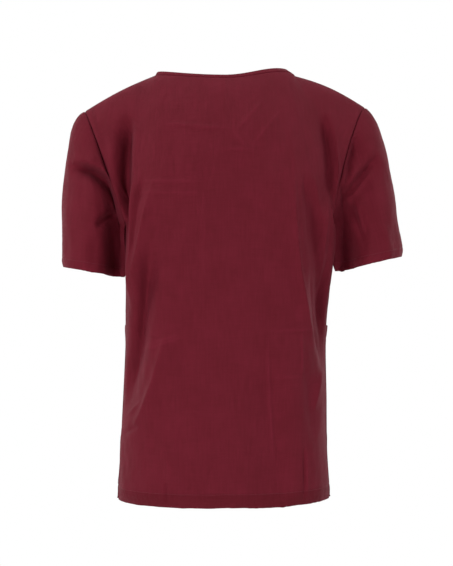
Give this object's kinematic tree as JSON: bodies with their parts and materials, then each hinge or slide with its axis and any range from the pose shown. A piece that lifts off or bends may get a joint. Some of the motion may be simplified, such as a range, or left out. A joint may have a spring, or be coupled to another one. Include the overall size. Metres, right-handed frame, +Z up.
{
  "type": "medical scrub top",
  "caption": "Short-sleeved V-neck scrub top in woven cloth, filled out as if worn, with patch pockets on the front and vents at the side seams.",
  "frame": {"origin": "midway between the two high shoulder points, where the shoulder seams meet the neckline and the garment hangs from its wearer", "axes": "+Z up, -Y out of the garment's front, +X towards the wearer's left sleeve"},
  "size_m": [0.5585, 0.2432, 0.6991],
  "materials": {
    "twill_body": "smooth woven polyester and rayon twill, burgundy, with a low sheen",
    "twill_sleeves": "the same burgundy twill, set-in sleeves with a turned and stitched hem",
    "twill_neck_band": "the same burgundy twill, doubled and pressed flat",
    "twill_pockets": "the same burgundy twill, with turned and topstitched edges"
  },
  "bodies": {
    "root": {"back_panel": "twill_body", "front_panel": "twill_body", "sleeve_left": "twill_sleeves", "sleeve_right": "twill_sleeves", "neck_band_back": "twill_neck_band", "neck_band_left": "twill_neck_band", "neck_band_right": "twill_neck_band", "chest_pocket": "twill_pockets", "lower_pocket_left": "twill_pockets", "lower_pocket_right": "twill_pockets", "utility_pocket": "twill_pockets"}
  },
  "joints": []
}
